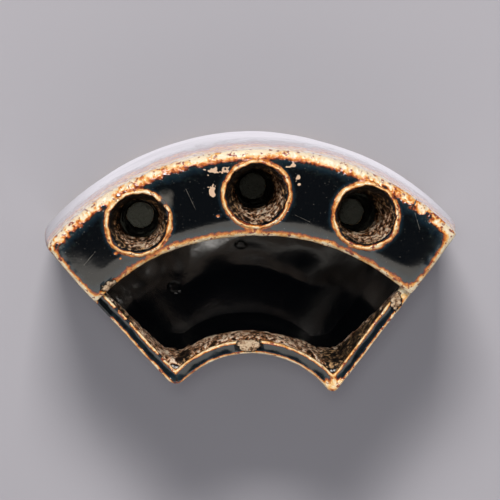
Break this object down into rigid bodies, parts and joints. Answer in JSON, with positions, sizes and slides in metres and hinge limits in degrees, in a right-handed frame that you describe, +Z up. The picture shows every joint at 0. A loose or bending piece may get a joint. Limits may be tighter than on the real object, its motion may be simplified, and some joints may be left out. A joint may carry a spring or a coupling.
{
  "type": "calligraphy brush holder",
  "caption": "Fan-shaped glazed stoneware holder with round brush sockets along its convex back and an open compartment in front.",
  "frame": {"origin": "centre of the bounding box's underside, on the surface that the vessel stands on", "axes": "+Z up, towards the mouth; +Y towards the convex back; +X to the right, seen from the concave front"},
  "size_m": [0.1306, 0.0802, 0.1059],
  "materials": {
    "glaze": "glossy blue-black glaze that breaks to tan on edges",
    "thin_glaze": "thin tan glaze over rough clay",
    "bare_clay": "unglazed stoneware"
  },
  "bodies": {
    "root": {"base_slab": "bare_clay", "back_wall": "glaze", "left_wall": "glaze", "right_wall": "glaze", "front_wall": "glaze", "divider_wall": "glaze", "deck_slab": "glaze", "brush_tube_left": "thin_glaze", "brush_tube_middle": "thin_glaze", "brush_tube_right": "thin_glaze", "front_left_corner_coil": "thin_glaze", "front_right_corner_coil": "thin_glaze"}
  },
  "joints": []
}
